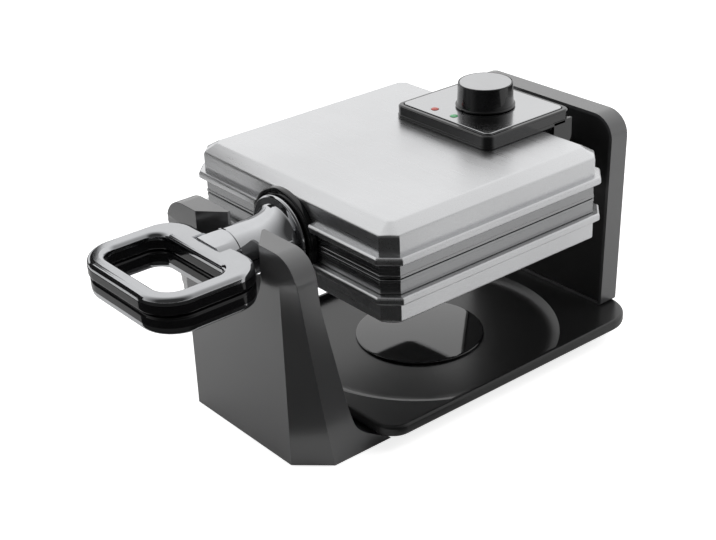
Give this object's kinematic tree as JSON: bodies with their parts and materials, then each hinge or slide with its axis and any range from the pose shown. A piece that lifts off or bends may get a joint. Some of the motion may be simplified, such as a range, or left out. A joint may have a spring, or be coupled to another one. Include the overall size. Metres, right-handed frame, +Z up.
{
  "type": "rotating waffle maker",
  "caption": "Countertop waffle maker whose square hinged head turns over on a front cradle and a rear pivot stand, with loop handles, a control box with dial and a drip tray base.",
  "frame": {"origin": "on the table under the middle of the outline", "axes": "+Z up, +X to the right when looking from the handles at the front (-Y) towards the rear stand (+Y)"},
  "size_m": [0.2086, 0.374, 0.194],
  "materials": {
    "brushed_steel": "brushed",
    "dark_steel": "satin",
    "chrome": "polished",
    "cast_aluminium": "cast",
    "coated_plate": "non-stick coating",
    "black_plastic": "satin",
    "grey_plastic": "fine texture",
    "gloss_black": "gloss",
    "rubber": "matt",
    "zinc_steel": "zinc plated",
    "aluminium_sheet": "mill",
    "heater": "heat-tinted",
    "thermostat": "moulded",
    "brass": "plain",
    "red_lens": "clear lens",
    "green_lens": "clear lens",
    "nylon": "moulded"
  },
  "bodies": {
    "base": {"base_tray": "grey_plastic", "base_disc": "gloss_black", "base_pan": "black_plastic", "front_stand": "grey_plastic", "front_stand_cover": "grey_plastic", "rear_stand": "grey_plastic", "rear_stand_cover": "black_plastic", "rear_bush": "nylon", "terminal_block": "nylon", "cord_gland": "rubber", "front_foot_left": "rubber", "front_foot_right": "rubber", "rear_foot_left": "rubber", "rear_foot_right": "rubber", "front_stand_screw_left": "zinc_steel", "front_stand_screw_right": "zinc_steel", "tray_screw_left": "zinc_steel", "tray_screw_right": "zinc_steel", "rear_stand_screw_left": "zinc_steel", "rear_stand_screw_right": "zinc_steel"},
    "lower_half": {"lower_shell": "brushed_steel", "lower_rim": "dark_steel", "lower_plate": "coated_plate", "lower_heating_element": "heater", "lower_reflector": "aluminium_sheet", "lower_collar": "black_plastic", "lower_neck": "chrome", "lower_handle": "gloss_black", "lower_handle_trim": "chrome", "hinge_bracket": "cast_aluminium", "rear_shaft": "zinc_steel", "shaft_stop_disc": "zinc_steel", "shaft_retaining_ring": "zinc_steel", "bracket_screw_left": "zinc_steel", "bracket_screw_right": "zinc_steel"},
    "hinge_pin": {"hinge_pin": "zinc_steel"},
    "upper_half": {"upper_shell": "brushed_steel", "upper_rim": "dark_steel", "upper_plate": "coated_plate", "upper_heating_element": "heater", "upper_reflector": "aluminium_sheet", "upper_collar": "black_plastic", "upper_neck": "chrome", "upper_handle": "gloss_black", "upper_handle_trim": "chrome", "control_box": "gloss_black", "control_panel": "brushed_steel", "lamp_red": "red_lens", "lamp_green": "green_lens", "thermostat_body": "thermostat", "thermal_fuse": "nylon", "control_box_screw_left": "zinc_steel", "control_box_screw_right": "zinc_steel"},
    "knob": {"knob": "black_plastic", "knob_cap": "aluminium_sheet", "thermostat_spindle": "brass"},
    "thermostat_contact": {"thermostat_contact": "brass"}
  },
  "joints": [
    {"name": "rotate_head", "type": "hinge", "parent": "base", "child": "lower_half", "pos_m": [0, 0.14, 0.132], "axis": [0, 1, 0], "range_deg": [-180, 0]},
    {"name": "hinge_float", "type": "slide", "parent": "lower_half", "child": "hinge_pin", "axis": [0, 0, 1], "range_m": [0, 0.003]},
    {"name": "lid_hinge", "type": "hinge", "parent": "hinge_pin", "child": "upper_half", "pos_m": [0.009, 0.14, 0.158], "axis": [-1, 0, 0], "range_deg": [0, 92]},
    {"name": "thermostat_knob", "type": "hinge", "parent": "upper_half", "child": "knob", "pos_m": [0.009, 0.1095, 0.18], "axis": [0, 0, -1], "range_deg": [0, 270]},
    {"name": "thermostat_contact", "type": "slide", "parent": "upper_half", "child": "thermostat_contact", "axis": [0, 0, -1], "range_m": [0, 0.0008], "stiffness_N_per_m": 500}
  ]
}
